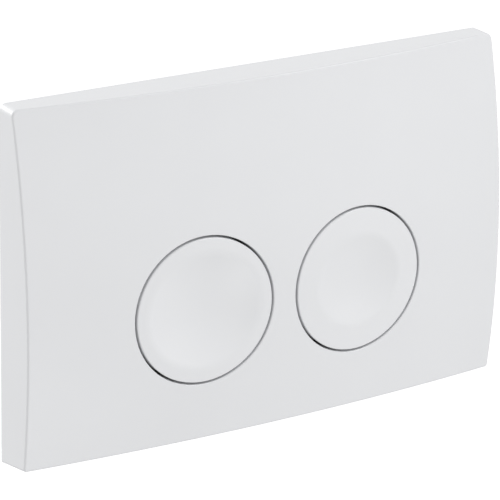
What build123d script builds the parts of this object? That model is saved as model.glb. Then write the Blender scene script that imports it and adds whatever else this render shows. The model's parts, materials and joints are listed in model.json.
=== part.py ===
from build123d import *
from math import asin, atan2, cos, degrees, radians, sin, sqrt, tan
import os

# Dual flush plate for a cistern behind the wall, in millimetres.
# The wall is the plane Y = 0, and the plate stands out of it towards -Y, with +X to the right and +Z up.
# A depth is a distance from the wall towards the room. A height is measured from the middle of the plate.

# Cover plate
plate_width = 246.0
plate_height = 164.0
plate_wall = 2.5
upper_corner_radius = 3.2
lower_corner_radius = 1.5
hollow_corner_radius = 2.0
underside_lean = 9.8  # degrees that the underside leans in towards the room
front_edge_radius = 1.0

# Domed face, curved both ways about its crown
crown_depth = 33.7
crown_height = -22.9
upright_curve_radius = 409.0
level_curve_radius = 833.0

# Button caps
button_height = -15.7
button_radius = 33.1
button_gap = 1.1
button_travel = 7.0
cap_wall = 2.0
cap_edge_chamfer = 0.3
opening_edge_chamfer = 0.3
full_dish_radius = 27.0
full_dish_sag = 3.8
half_dish_radius = 21.5
half_dish_sag = 2.5
dish_rim_radius = 12.0

# Collar around each opening, and the stop flange behind it
collar_wall = 2.0
collar_reach = 10.7
flange_overlap = 1.6
flange_thickness = 1.5
flange_web = 8.1
stop_clearance = 0.3

# Plunger, its socket in the cap and its guide sleeve in the carrier
stem_radius = 6.0
stem_flat = 4.8
stem_tail = 3.0
guide_clearance = 0.1
sleeve_wall = 1.9
sleeve_rise = 2.0
sleeve_drop = 3.0
socket_wall = 3.0
peg_radius = 4.0
peg_length = 3.6
peg_clearance = 0.05
socket_floor = 0.6

# Return spring
wire_radius = 0.6
spring_gap = 0.4
spring_turns = 4.5
wire_sides = 6
seat_margin = 0.8
seat_drop = 7.6

# Button carrier, its bosses and screws
carrier_thickness = 3.0
travel_clearance = 2.2
socket_clearance = 1.0
boss_radius = 4.0
boss_clearance = 5.04
boss_angle = 40.0  # degrees above and below the middle of a button
pad_margin = 1.5
rib_thickness = 2.0
rib_height = 1.5
screw_radius = 1.5
screw_length = 11.0
screw_clearance = 0.15
screw_head_radius = 3.0
screw_head_height = 2.2
screw_head_chamfer = 0.7
head_clearance = 0.6
pilot_clearance = 0.05
pilot_spare = 1.0

# Mounting frame
frame_depth = 6.0
frame_web = 2.5
frame_rim = 2.0
frame_corner_radius = 8.0
window_corner_radius = 6.0
window_clearance = 1.3
side_rail = 21.0
end_rail = 15.0
slot_travel = 6.0
slot_clearance = 0.4
slot_boss_wall = 2.6

# Snap hooks of the cover and catches of the frame
hook_spacing = 120.0
hook_width = 16.0
hook_thickness = 2.2
hook_clearance = 0.3
hook_tip_depth = 0.8
hook_nose = 2.0
catch_width = 22.0
catch_reach = 3.0
catch_thickness = 3.0
locating_rib_spacing = 70.0
locating_rib_thickness = 2.0
locating_rib_depth = 9.0

# Spacer bolts, washers and clamp nuts
stud_radius = 4.0
stud_reach = 36.0
neck_radius = 5.0
thread_chamfer = 0.8
washer_radius = 9.5
washer_thickness = 1.2
washer_clearance = 0.3
nut_flange_radius = 10.0
nut_flange_thickness = 2.0
nut_body_radius = 8.6
nut_height = 9.0
nut_clearance = 0.1
flute_count = 6
flute_radius = 1.6
bolt_end_spare = 1.5

# Push rods and lock nuts
rod_radius = 3.5
rod_reach = 40.0
rod_end_chamfer = 1.0
rod_thread_radius = 2.5
rod_thread_grip = 8.0
rod_thread_spare = 3.0
rod_thread_clearance = 0.05
lock_nut_across_flats = 8.0
lock_nut_thickness = 4.0

# Extra length by which a cut runs past what it cuts
overshoot = 5.0

# Shape of the dome
dome_axis_depth = crown_depth - level_curve_radius
curve_offset = level_curve_radius - upright_curve_radius
dome_half_angle = asin((plate_width / 2 + overshoot) / -dome_axis_depth)
dome_axis = Axis((0, -dome_axis_depth, 0), (0, 0, 1))
dome_plane = Plane(
    origin=(0, -dome_axis_depth, 0),
    x_dir=(-sin(dome_half_angle), -cos(dome_half_angle), 0),
    z_dir=(-cos(dome_half_angle), sin(dome_half_angle), 0),
)

# Places across the wall
opening_radius = button_radius + button_gap
collar_radius = opening_radius + collar_wall
flange_radius = opening_radius + flange_overlap
button_offset = flange_radius + flange_web / 2
button_centres = [(-button_offset, button_height), (button_offset, button_height)]
boss_distance = flange_radius + boss_clearance + boss_radius
boss_offset = button_offset + boss_distance * cos(radians(boss_angle))
boss_rise = boss_distance * sin(radians(boss_angle))
pad_radius = boss_radius + pad_margin
window_half_width = boss_offset + pad_radius + window_clearance
window_half_height = abs(button_height) + boss_rise + pad_radius + window_clearance
frame_half_width = window_half_width + side_rail
frame_half_height = window_half_height + end_rail
bolt_offset = window_half_width + side_rail / 2
slot_width = 2 * (neck_radius + slot_clearance)
slot_length = slot_width + slot_travel
bore_radius = stem_radius + guide_clearance
sleeve_radius = bore_radius + sleeve_wall
socket_radius = peg_radius + socket_wall
coil_radius = max(sleeve_radius, socket_radius) + spring_gap + wire_radius
seat_radius = coil_radius + wire_radius + seat_margin


def face_depth(x, height):
    """Depth of the domed face at a place on the plate."""
    arm = curve_offset + sqrt(upright_curve_radius**2 - (height - crown_height) ** 2)
    return sqrt(arm**2 - x**2) + dome_axis_depth


def face_normal(x, height):
    """Direction in which the domed face looks at a place on the plate."""
    arm = curve_offset + sqrt(upright_curve_radius**2 - (height - crown_height) ** 2)
    out = (arm - curve_offset) / arm
    return Vector(x * out, (dome_axis_depth - face_depth(x, height)) * out, height - crown_height)


# Depths, from the face back to the wall
cap_depth = face_depth(button_offset, button_height)
stop_depth = cap_depth - collar_reach
skirt_depth = stop_depth - stop_clearance - flange_thickness
seat_depth = cap_depth - seat_drop
carrier_front = skirt_depth - button_travel - travel_clearance
carrier_rear = carrier_front - carrier_thickness
sleeve_front = carrier_front + sleeve_rise
sleeve_rear = carrier_rear - sleeve_drop
socket_depth = sleeve_front + button_travel + socket_clearance
stem_end = sleeve_rear - stem_tail
lock_nut_end = stem_end - lock_nut_thickness
rod_start = lock_nut_end - rod_thread_spare
catch_rear = frame_depth - catch_thickness
washer_front = frame_depth + washer_thickness
nut_front = washer_front + nut_height


def level(depth):
    """Plane that lies parallel to the wall at a depth and looks into the room."""
    return Plane.XZ.offset(depth)


def dome_block(inset):
    """Block behind the domed face, with the face taken in by the inset."""
    top = plate_height / 2 + overshoot
    rear_radius = -dome_axis_depth - overshoot
    curve_radius = upright_curve_radius - inset
    top_radius = curve_offset + sqrt(curve_radius**2 - (top - crown_height) ** 2)
    bottom_radius = curve_offset + sqrt(curve_radius**2 - (-top - crown_height) ** 2)
    with BuildPart() as block:
        with BuildSketch(dome_plane):
            with BuildLine():
                ThreePointArc(
                    (top_radius, top),
                    (curve_offset + curve_radius, crown_height),
                    (bottom_radius, -top),
                )
                Polyline((bottom_radius, -top), (rear_radius, -top), (rear_radius, top), (top_radius, top))
            make_face()
        revolve(axis=dome_axis, revolution_arc=degrees(2 * dome_half_angle))
    return block.part


def plate_block(inset, upper_radius, lower_radius, rear_depth):
    """Domed block with the plate's outline and its leaning underside, taken in by the inset."""
    top = plate_height / 2 - inset
    bottom = -plate_height / 2 + inset
    front_depth = crown_depth + overshoot
    lean = tan(radians(underside_lean))
    with BuildPart() as block:
        with BuildSketch(Plane.YZ):
            with BuildLine():
                Polyline(
                    (-rear_depth, top),
                    (-front_depth, top),
                    (-front_depth, bottom + front_depth * lean),
                    (-rear_depth, bottom + rear_depth * lean),
                    close=True,
                )
            make_face()
        extrude(amount=plate_width / 2 - inset, both=True)
        for end, corner_radius in ((-1, upper_radius), (0, lower_radius)):
            corners = block.edges().filter_by(Axis.X, reverse=True).filter_by(Axis.Z, reverse=True)
            fillet(corners.group_by(Axis.Z)[end], corner_radius)
        add(dome_block(inset), mode=Mode.INTERSECT)
    return block.part


def boss_places():
    """The six screw places around the two buttons."""
    return [
        (x, button_height + rise)
        for x in (-boss_offset, 0, boss_offset)
        for rise in (-boss_rise, boss_rise)
    ]


def rib_between(start, end):
    """Section of a straight rib between two places."""
    run = Vector(*end) - Vector(*start)
    with Locations((Vector(*start) + Vector(*end)) / 2):
        Rectangle(run.length, rib_thickness, rotation=degrees(atan2(run.Y, run.X)))


def stem_section(clearance):
    """Section of the plunger's stem, or of its bore with the clearance added."""
    Circle(stem_radius + clearance)
    with Locations((0, stem_flat + clearance)):
        Rectangle(
            2 * (stem_radius + clearance),
            stem_radius,
            align=(Align.CENTER, Align.MIN),
            mode=Mode.SUBTRACT,
        )


os.makedirs("parts", exist_ok=True)

# Bosses, collars, snap hooks and locating ribs on the inside of the cover
hook_root = frame_half_height + catch_reach + hook_clearance
nose_depth = catch_rear - hook_clearance
rib_inner = frame_half_width + hook_clearance
rib_length = plate_width / 2 - plate_wall / 2 - rib_inner
with BuildPart() as cover_supports:
    with BuildSketch(level(stop_depth)):
        with Locations(*button_centres):
            Circle(collar_radius)
            Circle(opening_radius, mode=Mode.SUBTRACT)
    extrude(amount=collar_reach + overshoot)
    with BuildSketch(level(carrier_front)):
        with Locations(*boss_places()):
            Circle(boss_radius)
    extrude(amount=crown_depth)
    with BuildSketch(level(carrier_front)):
        with Locations(*boss_places()):
            Circle(screw_radius + pilot_clearance)
    extrude(amount=screw_length - carrier_thickness + pilot_spare, mode=Mode.SUBTRACT)
    for side in (-1, 1):
        with BuildSketch(Plane.YZ.offset(side * hook_spacing / 2)):
            with BuildLine():
                Polyline(
                    (-crown_depth, hook_root),
                    (-nose_depth, hook_root),
                    (-nose_depth, hook_root - hook_nose),
                    (-hook_tip_depth, hook_root),
                    (-hook_tip_depth, hook_root + hook_thickness),
                    (-crown_depth, hook_root + hook_thickness),
                    close=True,
                )
            make_face()
            mirror(about=Plane.XZ)
        extrude(amount=hook_width / 2, both=True)
    with BuildSketch(level(hook_tip_depth)):
        for side in (-1, 1):
            with Locations((side * (rib_inner + rib_length / 2), 0)):
                with GridLocations(0, locating_rib_spacing, 1, 2):
                    Rectangle(rib_length, locating_rib_thickness)
    extrude(amount=locating_rib_depth)
    add(dome_block(plate_wall / 2), mode=Mode.INTERSECT)

# Cover plate: a domed shell with two round openings
with BuildPart() as cover_plate:
    add(plate_block(0, upper_corner_radius, lower_corner_radius, 0))
    with BuildSketch(level(0)):
        with Locations(*button_centres):
            Circle(opening_radius)
    extrude(amount=crown_depth + overshoot, mode=Mode.SUBTRACT)
    face = cover_plate.faces().filter_by(GeomType.TORUS).sort_by(SortBy.AREA)[-1]
    fillet(face.outer_wire().edges(), front_edge_radius)
    face = cover_plate.faces().filter_by(GeomType.TORUS).sort_by(SortBy.AREA)[-1]
    chamfer([edge for wire in face.inner_wires() for edge in wire.edges()], opening_edge_chamfer)
    hollow = plate_block(plate_wall, hollow_corner_radius, hollow_corner_radius, -overshoot)
    add(hollow, mode=Mode.SUBTRACT)
    add(cover_supports.part)
cover_plate.part.label = "cover_plate"
export_step(cover_plate.part, "parts/cover_plate.step")

# Button carrier: a ribbed bridge with a guide sleeve behind each button
with BuildPart() as button_carrier:
    with BuildSketch(level(carrier_rear)):
        with Locations(*boss_places()):
            Circle(pad_radius)
        make_hull()
    extrude(amount=carrier_thickness)
    with BuildSketch(level(carrier_rear - rib_height)):
        rib_between(*button_centres)
        for centre in button_centres:
            for pad in boss_places():
                if pad[0] * centre[0] >= 0:
                    rib_between(centre, pad)
        with Locations(*boss_places()):
            Circle(screw_head_radius + head_clearance, mode=Mode.SUBTRACT)
    extrude(amount=rib_height)
    with BuildSketch(level(sleeve_rear)):
        with Locations(*button_centres):
            Circle(sleeve_radius)
    extrude(amount=sleeve_front - sleeve_rear)
    with BuildSketch(level(sleeve_rear)):
        with Locations(*button_centres):
            stem_section(guide_clearance)
        with Locations(*boss_places()):
            Circle(screw_radius + screw_clearance)
    extrude(amount=sleeve_front - sleeve_rear, mode=Mode.SUBTRACT)
button_carrier.part.label = "button_carrier"
export_step(button_carrier.part, "parts/button_carrier.step")

# Screws through the carrier's pads into the bosses
with BuildPart() as carrier_screws:
    with BuildSketch(level(carrier_rear - screw_head_height)):
        with Locations(*boss_places()):
            Circle(screw_head_radius)
    extrude(amount=screw_head_height)
    with BuildSketch(level(carrier_rear)):
        with Locations(*boss_places()):
            Circle(screw_radius)
    extrude(amount=screw_length)
    chamfer(carrier_screws.edges().group_by(Axis.Y)[-1], screw_head_chamfer)
carrier_screws.part.label = "carrier_screws"
export_step(carrier_screws.part, "parts/carrier_screws.step")

# Pieces of each button, from its cap back to its push rod
for flush, centre_x, dish_radius, dish_sag in (
    ("full_flush", -button_offset, full_dish_radius, full_dish_sag),
    ("half_flush", button_offset, half_dish_radius, half_dish_sag),
):
    centre = (centre_x, button_height)
    rim_drop = dish_radius**2 * (1 / upright_curve_radius + 1 / level_curve_radius) / 4
    dish_sphere = (dish_radius**2 + dish_sag**2) / (2 * dish_sag)
    dish_bottom = dish_sag + rim_drop
    cap_plane = Plane(origin=(centre_x, -cap_depth, button_height), z_dir=face_normal(*centre))
    dish_centre = cap_plane.offset(dish_sphere - dish_bottom)

    # Hollow of the cap, which leaves an even wall under the face and under the dish
    with BuildPart() as cap_hollow:
        with BuildSketch(level(skirt_depth)):
            with Locations(centre):
                Circle(button_radius - cap_wall)
        extrude(amount=crown_depth)
        add(dome_block(cap_wall), mode=Mode.INTERSECT)
        with Locations(dish_centre):
            Sphere(dish_sphere + cap_wall, rotation=(90, 0, 0), mode=Mode.SUBTRACT)

    # Cap: flush with the domed face, with a round finger dish, a skirt and a stop flange
    with BuildPart() as button:
        with BuildSketch(level(skirt_depth)):
            with Locations(centre):
                Circle(button_radius)
        extrude(amount=crown_depth)
        add(dome_block(0), mode=Mode.INTERSECT)
        chamfer(button.faces().filter_by(GeomType.TORUS).edges(), cap_edge_chamfer)
        with Locations(dish_centre):
            Sphere(dish_sphere, rotation=(90, 0, 0), mode=Mode.SUBTRACT)
        fillet(button.faces().filter_by(GeomType.SPHERE).edges(), dish_rim_radius)
        add(cap_hollow.part, mode=Mode.SUBTRACT)
        with BuildSketch(level(skirt_depth)):
            with Locations(centre):
                Circle(flange_radius)
                Circle(button_radius - cap_wall, mode=Mode.SUBTRACT)
        extrude(amount=flange_thickness)
        with BuildSketch(level(seat_depth)):
            with Locations(centre):
                Circle(seat_radius)
        extrude(amount=seat_drop - dish_bottom - cap_wall / 2)
        with BuildSketch(level(socket_depth)):
            with Locations(centre):
                Circle(socket_radius)
        extrude(amount=seat_depth - socket_depth)
        with BuildSketch(level(socket_depth)):
            with Locations(centre):
                Circle(peg_radius)
        extrude(amount=peg_length + socket_floor, mode=Mode.SUBTRACT)
    button.part.label = f"{flush}_button"
    export_step(button.part, f"parts/{flush}_button.step")

    # Plunger: a stem with one flat that keeps the cap from turning
    with BuildPart() as plunger:
        with BuildSketch(level(stem_end)):
            with Locations(centre):
                stem_section(0)
        extrude(amount=socket_depth - stem_end)
        with BuildSketch(level(socket_depth)):
            with Locations(centre):
                Circle(peg_radius - peg_clearance)
        extrude(amount=peg_length)
        with BuildSketch(level(stem_end)):
            with Locations(centre):
                Circle(rod_thread_radius + rod_thread_clearance)
        extrude(amount=rod_thread_grip + socket_floor, mode=Mode.SUBTRACT)
    plunger.part.label = f"{flush}_plunger"
    export_step(plunger.part, f"parts/{flush}_plunger.step")

    # Return spring around the guide sleeve, from the carrier to the seat in the cap
    spring_height = seat_depth - carrier_front - 2 * wire_radius
    with BuildPart() as return_spring:
        with BuildLine():
            coil = Helix(
                pitch=spring_height / spring_turns,
                height=spring_height,
                radius=coil_radius,
                center=(centre_x, -carrier_front - wire_radius, button_height),
                direction=(0, -1, 0),
            )
        with BuildSketch(Plane(origin=coil @ 0, z_dir=coil % 0)):
            RegularPolygon(wire_radius, wire_sides)
        sweep(is_frenet=True)
    return_spring.part.label = f"{flush}_return_spring"
    export_step(return_spring.part, f"parts/{flush}_return_spring.step")

    # Lock nut against the end of the plunger
    with BuildPart() as lock_nut:
        with BuildSketch(level(lock_nut_end)):
            with Locations(centre):
                RegularPolygon(lock_nut_across_flats / 2, side_count=6, major_radius=False)
                Circle(rod_thread_radius + rod_thread_clearance, mode=Mode.SUBTRACT)
        extrude(amount=lock_nut_thickness)
    lock_nut.part.label = f"{flush}_lock_nut"
    export_step(lock_nut.part, f"parts/{flush}_lock_nut.step")

    # Push rod with a threaded end in the plunger and a chamfered end behind the wall
    with BuildPart() as push_rod:
        with BuildSketch(level(-rod_reach)):
            with Locations(centre):
                Circle(rod_radius)
        extrude(amount=rod_reach + rod_start)
        with BuildSketch(level(rod_start)):
            with Locations(centre):
                Circle(rod_thread_radius)
        extrude(amount=stem_end - rod_start + rod_thread_grip)
        chamfer(push_rod.edges().group_by(Axis.Y)[-1], rod_end_chamfer)
    push_rod.part.label = f"{flush}_push_rod"
    export_step(push_rod.part, f"parts/{flush}_push_rod.step")

# Mounting frame: a channel-section frame with slotted bolt holes and catches for the hooks
with BuildPart() as mounting_frame:
    with BuildSketch(level(0)):
        RectangleRounded(2 * frame_half_width, 2 * frame_half_height, frame_corner_radius)
        RectangleRounded(
            2 * window_half_width,
            2 * window_half_height,
            window_corner_radius,
            mode=Mode.SUBTRACT,
        )
    extrude(amount=frame_depth)
    with BuildSketch(level(frame_web)):
        RectangleRounded(
            2 * (frame_half_width - frame_rim),
            2 * (frame_half_height - frame_rim),
            frame_corner_radius - frame_rim,
        )
        RectangleRounded(
            2 * (window_half_width + frame_rim),
            2 * (window_half_height + frame_rim),
            window_corner_radius + frame_rim,
            mode=Mode.SUBTRACT,
        )
        with GridLocations(2 * bolt_offset, 0, 2, 1):
            SlotOverall(
                slot_length + 2 * slot_boss_wall,
                slot_width + 2 * slot_boss_wall,
                rotation=90,
                mode=Mode.SUBTRACT,
            )
    extrude(amount=frame_depth - frame_web, mode=Mode.SUBTRACT)
    with BuildSketch(level(0)):
        with GridLocations(2 * bolt_offset, 0, 2, 1):
            SlotOverall(slot_length, slot_width, rotation=90)
    extrude(amount=frame_depth, mode=Mode.SUBTRACT)
    with BuildSketch(level(catch_rear)):
        with GridLocations(hook_spacing, 2 * frame_half_height + catch_reach - frame_rim, 2, 2):
            Rectangle(catch_width, catch_reach + frame_rim)
    extrude(amount=catch_thickness)
mounting_frame.part.label = "mounting_frame"
export_step(mounting_frame.part, "parts/mounting_frame.step")

# Spacer bolt, washer and clamp nut at each side of the frame
for side, bolt_x in (("left", -bolt_offset), ("right", bolt_offset)):
    with BuildPart() as spacer_bolt:
        with BuildSketch(level(-stud_reach)):
            with Locations((bolt_x, 0)):
                Circle(stud_radius)
        extrude(amount=stud_reach)
        with BuildSketch(level(0)):
            with Locations((bolt_x, 0)):
                Circle(neck_radius)
        extrude(amount=nut_front + bolt_end_spare)
        bolt_ends = spacer_bolt.edges().group_by(Axis.Y)
        chamfer(bolt_ends[0] + bolt_ends[-1], thread_chamfer)
    spacer_bolt.part.label = f"{side}_spacer_bolt"
    export_step(spacer_bolt.part, f"parts/{side}_spacer_bolt.step")

    with BuildPart() as washer:
        with BuildSketch(level(frame_depth)):
            with Locations((bolt_x, 0)):
                Circle(washer_radius)
                Circle(neck_radius + washer_clearance, mode=Mode.SUBTRACT)
        extrude(amount=washer_thickness)
    washer.part.label = f"{side}_washer"
    export_step(washer.part, f"parts/{side}_washer.step")

    with BuildPart() as clamp_nut:
        with BuildSketch(level(washer_front)):
            with Locations((bolt_x, 0)):
                Circle(nut_flange_radius)
        extrude(amount=nut_flange_thickness)
        with BuildSketch(level(washer_front)):
            with Locations((bolt_x, 0)):
                Circle(nut_body_radius)
                with PolarLocations(nut_body_radius, flute_count):
                    Circle(flute_radius, mode=Mode.SUBTRACT)
        extrude(amount=nut_height)
        with Locations(level(nut_front).shift_origin((bolt_x, -nut_front, 0))):
            Hole(neck_radius + nut_clearance)
    clamp_nut.part.label = f"{side}_clamp_nut"
    export_step(clamp_nut.part, f"parts/{side}_clamp_nut.step")
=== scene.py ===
import json
from math import ceil, cos, pi, radians, sin, tan, tau

import bmesh
import bpy
from mathutils import Matrix, Vector


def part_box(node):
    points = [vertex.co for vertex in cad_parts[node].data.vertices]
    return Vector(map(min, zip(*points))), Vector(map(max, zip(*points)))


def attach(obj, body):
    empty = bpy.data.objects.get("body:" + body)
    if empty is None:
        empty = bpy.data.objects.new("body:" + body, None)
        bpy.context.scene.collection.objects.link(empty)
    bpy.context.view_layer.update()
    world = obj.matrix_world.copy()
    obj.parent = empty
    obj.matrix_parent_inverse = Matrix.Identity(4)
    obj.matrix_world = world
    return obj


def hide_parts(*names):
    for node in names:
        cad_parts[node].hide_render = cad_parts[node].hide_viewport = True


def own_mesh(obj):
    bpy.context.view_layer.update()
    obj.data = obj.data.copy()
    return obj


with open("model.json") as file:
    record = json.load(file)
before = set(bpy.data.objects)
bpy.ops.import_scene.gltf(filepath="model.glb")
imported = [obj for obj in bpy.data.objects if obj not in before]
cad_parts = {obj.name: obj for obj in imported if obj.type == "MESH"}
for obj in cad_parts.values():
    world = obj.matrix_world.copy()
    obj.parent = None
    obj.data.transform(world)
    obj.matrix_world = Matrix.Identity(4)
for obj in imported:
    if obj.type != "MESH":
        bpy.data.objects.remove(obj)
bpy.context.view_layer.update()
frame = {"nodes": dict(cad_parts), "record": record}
nodes = frame["nodes"]
record = frame["record"]
mounts = {mount["name"]: mount for mount in record["mounts"]}
slots = {subpart["node"]: subpart["material_slot"] for subpart in record["subparts"]}
flushes = ("full_flush", "half_flush")

# Sizes are in metres, in the frame of the solids: the wall is Y = 0, the room is towards -Y and +Z is up.
MM = 0.001

# Camera, fitted to the plate's edges and rings in the photograph
camera_azimuth = radians(-32.51)
camera_elevation = radians(20.40)
camera_roll = radians(1.35)
camera_distance = 1.3705
camera_lens = 220.78
camera_sensor = 36.0
camera_target = Vector((2.58 * MM, 0, -5.47 * MM))

# Stage: a pale floor, far enough down for views from below
white = (1, 1, 1, 1)
floor_drop = 2.5
floor_size = 40.0
floor_shade = (0.97, 0.97, 0.97, 1)
floor_roughness = 0.9
floor_glow = 0.6

# Light: an even surround, and soft boxes by name, azimuth and elevation in degrees, and power in watts
ambient_strength = 0.61
light_distance = 3.0
light_size = 1.5
lights = [
    ("key", 60, 50, 28),
    ("front_fill", 5, 0, 5.9),
    ("right_fill", 35, 0, 4.7),
    ("low_fill", 0, -35, 12.6),
    ("low_right_fill", 45, -35, 2.5),
    ("left_rim", -125, 10, 14.6),
    ("back_light", -150, 25, 41.4),
]

# Finish of a surface: the middle of a noise's values, and how it shapes the colour, roughness and relief
noise_low = 0.3
noise_high = 0.7
drift_detail = 3
grain_detail = 2
roughness_spread = 0.12
relief_strength = 0.5
finishes = {
    "plate_white": dict(shade=(0.793, 0.80, 0.815), roughness=0.34, variation=0.006, relief=0.004),
    "button_white": dict(shade=(0.803, 0.81, 0.825), roughness=0.32, variation=0.006, relief=0.004),
    "carrier_plastic": dict(shade=(0.58, 0.59, 0.60), roughness=0.5, variation=0.03, grain=900),
    "plunger_plastic": dict(shade=(0.74, 0.73, 0.68), roughness=0.38, variation=0.03, grain=1200),
    "frame_plastic": dict(shade=(0.36, 0.37, 0.39), roughness=0.52, variation=0.04, grain=900),
    "clamp_nut_plastic": dict(shade=(0.05, 0.052, 0.058), roughness=0.45, variation=0.08, grain=900),
    "rod_plastic": dict(shade=(0.42, 0.43, 0.44), roughness=0.42, variation=0.04),
    "spring_steel": dict(shade=(0.56, 0.56, 0.57), roughness=0.26, metallic=1.0, variation=0.06, grain=4000),
    "plated_screw": dict(shade=(0.62, 0.62, 0.60), roughness=0.34, metallic=1.0, variation=0.08, drift=400),
    "plated_bolt": dict(shade=(0.60, 0.60, 0.59), roughness=0.36, metallic=1.0, variation=0.08, drift=300),
    "plated_washer": dict(shade=(0.64, 0.64, 0.62), roughness=0.32, metallic=1.0, variation=0.08, drift=250),
    "lock_nut_brass": dict(shade=(0.68, 0.48, 0.20), roughness=0.28, metallic=1.0, variation=0.08, drift=500),
}

# Painted shade: the front of the buttons' stop flanges, at the bottom of the gap around each cap, is coloured
# dark so the gap looks shaded
button_offset, _, button_height = mounts["half_flush_rod_end"]["pos_m"]
stop_radius = 33.15 * MM
stop_front = -21.5 * MM
painted_stop_shade = (0.03, 0.03, 0.033, 1)

# Threads: rings for each pitch, depth as a share of the pitch, and share of it cut flat at crest and root
thread_steps = 8
thread_depth_share = 0.6
thread_flat = 0.3

# Spacer bolts
stud_pitch = 1.25 * MM
neck_pitch = 1.5 * MM
bolt_segments = 40

# Push rods
rod_thread_radius = 2.5 * MM
rod_thread_pitch = 0.8 * MM
rod_thread_bare = 3.0 * MM
rod_chamfer = 1.0 * MM
rod_shoulder_chamfer = 0.25 * MM
rod_segments = 36

# Lock nuts: directions of the flats, and the flat ring at each end as a share of half the width
lock_nut_bore = 2.55 * MM
nut_flats = [radians(turn) for turn in (30, 90, 150)]
nut_end_share = 0.96
nut_chamfer_angle = radians(30)
nut_segments = 72

# Return springs
wire_radius = 0.6 * MM
wire_sides = 14
spring_turns = 4.5
steps_per_turn = 44

# Carrier screws
screw_radius = 1.5 * MM
screw_head_radius = 3.0 * MM
screw_head_height = 2.2 * MM
screw_corner = 0.7 * MM
screw_corner_steps = 6
screw_segments = 32
recess_width = 0.9 * MM
recess_reach = 1.75 * MM
recess_depth = 1.3 * MM
recess_taper = 0.55

# Edges of a piece that are sharper than this stay sharp in its shading
sharp_angle = radians(38)


# Materials

def add_node(material, kind, **inputs):
    """New shader node with some of its inputs set by name."""
    node = material.node_tree.nodes.new(kind)
    for name, value in inputs.items():
        node.inputs[name.replace("_", " ")].default_value = value
    return node


def link(material, output, target):
    material.node_tree.links.new(output, target)


def noise_texture(material, scale, detail):
    """Noise laid through the solid in its own metres."""
    place = add_node(material, "ShaderNodeTexCoord")
    texture = add_node(material, "ShaderNodeTexNoise", Scale=scale, Detail=detail)
    link(material, place.outputs["Object"], texture.inputs["Vector"])
    return texture.outputs["Fac"]


def ranged(material, value, low, high):
    """The middle of a noise's values spread over a range."""
    limits = dict(From_Min=noise_low, From_Max=noise_high, To_Min=low, To_Max=high)
    spread = add_node(material, "ShaderNodeMapRange", **limits)
    link(material, value, spread.inputs["Value"])
    return spread.outputs["Result"]


def colour_mix(material):
    """New node that blends two colours."""
    blend = add_node(material, "ShaderNodeMix")
    blend.data_type = "RGBA"
    return blend


def mottled(material, shade, variation, scale):
    """A colour that drifts a little between a darker and a lighter shade."""
    blend = colour_mix(material)
    blend.inputs["A"].default_value = (*[channel * (1 - variation) for channel in shade], 1)
    blend.inputs["B"].default_value = (*[min(channel * (1 + variation), 1) for channel in shade], 1)
    drift = noise_texture(material, scale, drift_detail)
    link(material, ranged(material, drift, 0, 1), blend.inputs["Factor"])
    return blend.outputs["Result"]


def surface(name, shade, roughness, metallic=0.0, variation=0.02, drift=30, grain=1500, relief=0.01):
    """Material with a drifting colour, an uneven roughness and a fine relief, relief in millimetres."""
    material = bpy.data.materials.new(name)
    material.use_nodes = True
    shader = material.node_tree.nodes["Principled BSDF"]
    shader.inputs["Metallic"].default_value = metallic
    fine = noise_texture(material, grain, grain_detail)
    uneven = ranged(material, fine, roughness * (1 - roughness_spread), roughness * (1 + roughness_spread))
    bump = add_node(material, "ShaderNodeBump", Strength=relief_strength, Distance=relief * MM)
    link(material, mottled(material, shade, variation, drift), shader.inputs["Base Color"])
    link(material, uneven, shader.inputs["Roughness"])
    link(material, fine, bump.inputs["Height"])
    link(material, bump.outputs["Normal"], shader.inputs["Normal"])
    return material


def computed(material, operation, *values):
    """Result of one step of arithmetic on numbers and on outputs of other nodes."""
    step = add_node(material, "ShaderNodeMath")
    step.operation = operation
    for place, value in enumerate(values):
        if isinstance(value, bpy.types.NodeSocket):
            link(material, value, step.inputs[place])
        else:
            step.inputs[place].default_value = value
    return step.outputs["Value"]


def paint_gap_shade_on_stops(material):
    """Painted shade on the front of the buttons' stop flanges, where the gap around a cap ends."""
    place = add_node(material, "ShaderNodeTexCoord")
    split = add_node(material, "ShaderNodeSeparateXYZ")
    link(material, place.outputs["Object"], split.inputs["Vector"])
    x, y, z = (split.outputs[axis] for axis in "XYZ")
    aside = computed(material, "SUBTRACT", computed(material, "ABSOLUTE", x), button_offset)
    above = computed(material, "SUBTRACT", z, button_height)
    squares = [computed(material, "MULTIPLY", side, side) for side in (aside, above)]
    outside = computed(material, "GREATER_THAN", computed(material, "ADD", *squares), stop_radius**2)
    front = computed(material, "LESS_THAN", y, stop_front)
    blend = colour_mix(material)
    blend.inputs["B"].default_value = painted_stop_shade
    colour = material.node_tree.nodes["Principled BSDF"].inputs["Base Color"]
    link(material, colour.links[0].from_socket, blend.inputs["A"])
    link(material, computed(material, "MULTIPLY", outside, front), blend.inputs["Factor"])
    link(material, blend.outputs["Result"], colour)


materials = {name: surface(name, **finish) for name, finish in finishes.items()}
# Painted shade: the button material is coloured dark on the fronts of its stop flanges, deep in the gap
paint_gap_shade_on_stops(materials["button_white"])
for name, node in nodes.items():
    node.material_slots[0].material = materials[slots[name]]


# Pieces that add fine detail to a solid

def add_object(name, data):
    """New object in the scene from a mesh, light or camera."""
    made = bpy.data.objects.new(name, data)
    bpy.context.scene.collection.objects.link(made)
    return made


def finished_mesh(name, shape):
    """Mesh from a bmesh, which is used up."""
    mesh = bpy.data.meshes.new(name)
    shape.to_mesh(mesh)
    shape.free()
    return mesh


def add_piece(name, shape, replaced, body):
    """Object from a finished bmesh that stands for a solid, rides on its body and takes its finish."""
    bmesh.ops.recalc_face_normals(shape, faces=shape.faces)
    mesh = finished_mesh(name, shape)
    mesh.materials.append(materials[slots[replaced]])
    piece = add_object(name, mesh)
    for polygon in mesh.polygons:
        polygon.use_smooth = True
    mesh.set_sharp_from_angle(angle=sharp_angle)
    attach(piece, body)
    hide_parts(replaced)
    return piece


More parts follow.
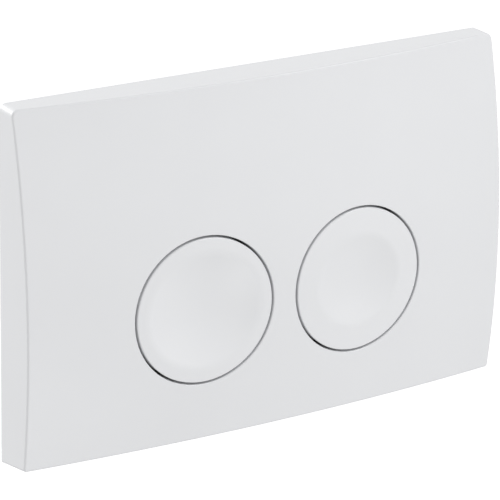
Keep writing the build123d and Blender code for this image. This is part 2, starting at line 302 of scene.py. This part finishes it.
def middle(node):
    low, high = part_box(node)
    return (low + high) / 2


def around(segments):
    """Angles of evenly spaced points round a circle."""
    return [tau * step / segments for step in range(segments)]


def add_loop(shape, centre, points):
    """Closed loop round an axis along Y, from the angle, radius and Y of each point."""
    return [
        shape.verts.new((centre.x + radius * cos(angle), y, centre.z + radius * sin(angle)))
        for angle, radius, y in points
    ]


def add_skin(shape, loops):
    """Faces from each loop to the next."""
    for near, far in zip(loops, loops[1:]):
        for step in range(len(near)):
            after = (step + 1) % len(near)
            shape.faces.new((near[step], near[after], far[after], far[step]))


def add_closed_skin(shape, loops):
    """Faces from each loop to the next, and over the first and the last."""
    add_skin(shape, loops)
    shape.faces.new(loops[0])
    shape.faces.new(reversed(loops[-1]))


def add_rings(shape, centre, rings, segments):
    """Closed skin over rings about an axis along Y, each a Y and a radius, or a radius for each angle."""
    loops = []
    for y, radius in rings:
        points = [(angle, radius(angle) if callable(radius) else radius, y) for angle in around(segments)]
        loops.append(add_loop(shape, centre, points))
    add_closed_skin(shape, loops)


def thread_radius(y, radius, pitch):
    """Radius of a thread at a place along its axis, for each angle."""
    depth = thread_depth_share * pitch

    def at(angle):
        phase = (y / pitch + angle / tau) % 1
        wave = abs(2 * phase - 1)
        flank = min(max(wave * (1 + 2 * thread_flat) - thread_flat, 0), 1)
        return radius - depth * flank

    return at


def thread_rings(start, end, radius, pitch):
    """Rings of a thread from one end to the other, with both ends chamfered to the thread's root."""
    root = radius - thread_depth_share * pitch
    count = ceil(abs(end - start) / pitch * thread_steps)
    rings = []
    for step in range(count + 1):
        y = start + (end - start) * step / count
        from_end = min(abs(y - start), abs(y - end))
        crest = thread_radius(y, radius, pitch)
        limit = root + from_end
        rings.append((y, lambda angle, crest=crest, limit=limit: min(crest(angle), limit)))
    return rings


def make_bolts():
    """Spacer bolts with a fine thread at each end."""
    stud_radius = mounts["fixing_bolts"]["dims"]["stud_r_mm"] * MM
    for side in ("left", "right"):
        node = f"{side}_spacer_bolt"
        low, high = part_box(node)
        neck_radius = (high.x - low.x) / 2
        rings = thread_rings(low.y, 0, neck_radius, neck_pitch)
        rings += thread_rings(0, high.y, stud_radius, stud_pitch)
        shape = bmesh.new()
        add_rings(shape, middle(node), rings, bolt_segments)
        add_piece(f"{side}_threaded_bolt", shape, node, "plate")


def make_rods():
    """Push rods with a threaded end in the plunger and a chamfered end behind the wall."""
    for flush in flushes:
        node = f"{flush}_push_rod"
        low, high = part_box(node)
        radius = mounts[f"{flush}_rod_end"]["dims"]["r_mm"] * MM
        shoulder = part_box(f"{flush}_lock_nut")[1].y + rod_thread_bare
        rings = thread_rings(low.y, shoulder, rod_thread_radius, rod_thread_pitch)
        rings += [
            (shoulder, radius - rod_shoulder_chamfer),
            (shoulder + rod_shoulder_chamfer, radius),
            (high.y - rod_chamfer, radius),
            (high.y, radius - rod_chamfer),
        ]
        shape = bmesh.new()
        add_rings(shape, middle(node), rings, rod_segments)
        add_piece(f"{flush}_threaded_rod", shape, node, flush)


def make_lock_nuts():
    """Hexagon nuts with chamfered corners."""
    angles = around(nut_segments)
    for flush in flushes:
        node = f"{flush}_lock_nut"
        low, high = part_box(node)
        half_width = (high.z - low.z) / 2
        end_radius = nut_end_share * half_width
        sides = [half_width / max(abs(cos(angle - flat)) for flat in nut_flats) for angle in angles]
        drops = [(radius - end_radius) * tan(nut_chamfer_angle) for radius in sides]
        outlines = [
            [(angle, lock_nut_bore, low.y) for angle in angles],
            [(angle, end_radius, low.y) for angle in angles],
            [(angle, radius, low.y + drop) for angle, radius, drop in zip(angles, sides, drops)],
            [(angle, radius, high.y - drop) for angle, radius, drop in zip(angles, sides, drops)],
            [(angle, end_radius, high.y) for angle in angles],
            [(angle, lock_nut_bore, high.y) for angle in angles],
        ]
        shape = bmesh.new()
        loops = [add_loop(shape, middle(node), outline) for outline in outlines]
        add_skin(shape, loops + loops[:1])
        add_piece(f"{flush}_chamfered_nut", shape, node, flush)


def make_springs():
    """Return springs of round wire."""
    for flush in flushes:
        node = f"{flush}_return_spring"
        low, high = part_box(node)
        centre = middle(node)
        coil_radius = (high.x - low.x) / 2 - wire_radius
        start = high.y - wire_radius
        rise = low.y + wire_radius - start
        climb = rise / (tau * spring_turns)
        count = ceil(spring_turns * steps_per_turn)
        shape = bmesh.new()
        loops = []
        for step in range(count + 1):
            angle = tau * spring_turns * step / count
            out = Vector((cos(angle), 0, sin(angle)))
            along = Vector((-sin(angle) * coil_radius, climb, cos(angle) * coil_radius)).normalized()
            across = along.cross(out)
            spot = Vector((centre.x, start + rise * step / count, centre.z)) + out * coil_radius
            loops.append(
                [
                    shape.verts.new(spot + wire_radius * (out * cos(turn) + across * sin(turn)))
                    for turn in around(wire_sides)
                ]
            )
        add_closed_skin(shape, loops)
        spring = add_piece(f"{flush}_wire_spring", shape, node, "plate")
        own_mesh(spring)


def plain_screw(tip, head_end):
    """Mesh of a screw along Y, with a chamfered tip and a rounded head."""
    head_start = head_end - screw_head_height
    rings = [
        (tip, screw_radius - screw_corner),
        (tip + screw_corner, screw_radius),
        (head_start, screw_radius),
        (head_start, screw_head_radius),
    ]
    for step in range(screw_corner_steps + 1):
        angle = pi / 2 * step / screw_corner_steps
        y = head_end - screw_corner + screw_corner * sin(angle)
        rings.append((y, screw_head_radius - screw_corner + screw_corner * cos(angle)))
    shape = bmesh.new()
    add_rings(shape, Vector((0, 0, 0)), rings, screw_segments)
    bmesh.ops.recalc_face_normals(shape, faces=shape.faces)
    return finished_mesh("screw", shape)


def cross_recess(head_end):
    """Mesh of two crossed bars that narrow into a screw's head."""
    sizes = Matrix.Diagonal((2 * recess_reach, 2 * recess_depth, recess_width, 1))
    shape = bmesh.new()
    for turn in (0, pi / 2):
        place = Matrix.Translation((0, head_end, 0)) @ Matrix.Rotation(turn, 4, "Y")
        bmesh.ops.create_cube(shape, size=1, matrix=place @ sizes)
    for vert in shape.verts:
        if vert.co.y < head_end:
            vert.co.x *= recess_taper
            vert.co.z *= recess_taper
    return finished_mesh("recess", shape)


def recessed_screw(tip, head_end):
    """Mesh of a screw with a cross recess cut into its head."""
    screw = add_object("screw", plain_screw(tip, head_end))
    recess = add_object("recess", cross_recess(head_end))
    cut = screw.modifiers.new("recess", "BOOLEAN")
    cut.object = recess
    cut.operation = "DIFFERENCE"
    cut.solver = "EXACT"
    cut.use_self = True
    bpy.context.view_layer.update()
    evaluated = screw.evaluated_get(bpy.context.evaluated_depsgraph_get())
    finished = bpy.data.meshes.new_from_object(evaluated)
    bpy.data.objects.remove(screw)
    bpy.data.objects.remove(recess)
    return finished


def make_screws():
    """Pan-head screws with a cross recess in each head."""
    node = "carrier_screws"
    low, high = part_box(node)
    screw = recessed_screw(low.y, high.y)
    shape = bmesh.new()
    for x in (low.x + screw_head_radius, 0, high.x - screw_head_radius):
        for z in (low.z + screw_head_radius, high.z - screw_head_radius):
            first = len(shape.verts)
            shape.from_mesh(screw)
            shape.verts.ensure_lookup_table()
            bmesh.ops.translate(shape, verts=shape.verts[first:], vec=(x, 0, z))
    add_piece("recessed_screws", shape, node, "plate")


make_bolts()
make_rods()
make_lock_nuts()
make_springs()
make_screws()


# Stage, light and camera

def direction(azimuth, elevation):
    """Direction from the plate, with the azimuth turned from the front towards the right."""
    return Vector((sin(azimuth) * cos(elevation), -cos(azimuth) * cos(elevation), sin(elevation)))


def make_floor():
    """Pale floor that shows in views from above, and casts neither shadow nor light on the plate."""
    shape = bmesh.new()
    bmesh.ops.create_grid(shape, x_segments=1, y_segments=1, size=floor_size / 2)
    material = bpy.data.materials.new("pale_floor")
    material.use_nodes = True
    shader = material.node_tree.nodes["Principled BSDF"]
    shader.inputs["Base Color"].default_value = floor_shade
    shader.inputs["Roughness"].default_value = floor_roughness
    shader.inputs["Emission Color"].default_value = white
    shader.inputs["Emission Strength"].default_value = floor_glow
    mesh = finished_mesh("floor", shape)
    mesh.materials.append(material)
    floor = add_object("floor", mesh)
    floor.location = (0, 0, -floor_drop)
    floor.visible_diffuse = False
    floor.visible_glossy = False
    floor.visible_shadow = False


def make_world():
    """Even light all round, with a white backdrop where the camera sees past the object."""
    world = bpy.data.worlds.new("studio")
    world.use_nodes = True
    tree = world.node_tree
    backdrop = tree.nodes["Background"]
    backdrop.inputs["Color"].default_value = white
    light = tree.nodes.new("ShaderNodeBackground")
    light.inputs["Color"].default_value = white
    light.inputs["Strength"].default_value = ambient_strength
    rays = tree.nodes.new("ShaderNodeLightPath")
    blend = tree.nodes.new("ShaderNodeMixShader")
    tree.links.new(rays.outputs["Is Camera Ray"], blend.inputs["Fac"])
    tree.links.new(light.outputs["Background"], blend.inputs[1])
    tree.links.new(backdrop.outputs["Background"], blend.inputs[2])
    tree.links.new(blend.outputs["Shader"], tree.nodes["World Output"].inputs["Surface"])
    bpy.context.scene.world = world


def make_light(name, azimuth, elevation, power):
    """Round soft box that looks at the plate."""
    data = bpy.data.lights.new(name, "AREA")
    data.shape = "DISK"
    data.size = light_size
    data.energy = power
    light = add_object(name, data)
    aim = direction(radians(azimuth), radians(elevation))
    light.location = aim * light_distance
    light.rotation_mode = "QUATERNION"
    light.rotation_quaternion = aim.to_track_quat("Z", "Y")


def make_camera():
    """Camera at the photograph's viewing angle."""
    data = bpy.data.cameras.new("camera")
    data.sensor_width = camera_sensor
    data.lens = camera_lens
    camera = add_object("camera", data)
    back = direction(camera_azimuth, camera_elevation)
    camera.location = camera_target + back * camera_distance
    camera.rotation_mode = "QUATERNION"
    roll = Matrix.Rotation(camera_roll, 4, "Z").to_quaternion()
    camera.rotation_quaternion = (-back).to_track_quat("-Z", "Y") @ roll
    bpy.context.scene.camera = camera


make_floor()
make_world()
for light in lights:
    make_light(*light)
make_camera()
bpy.context.scene.view_settings.view_transform = "Standard"
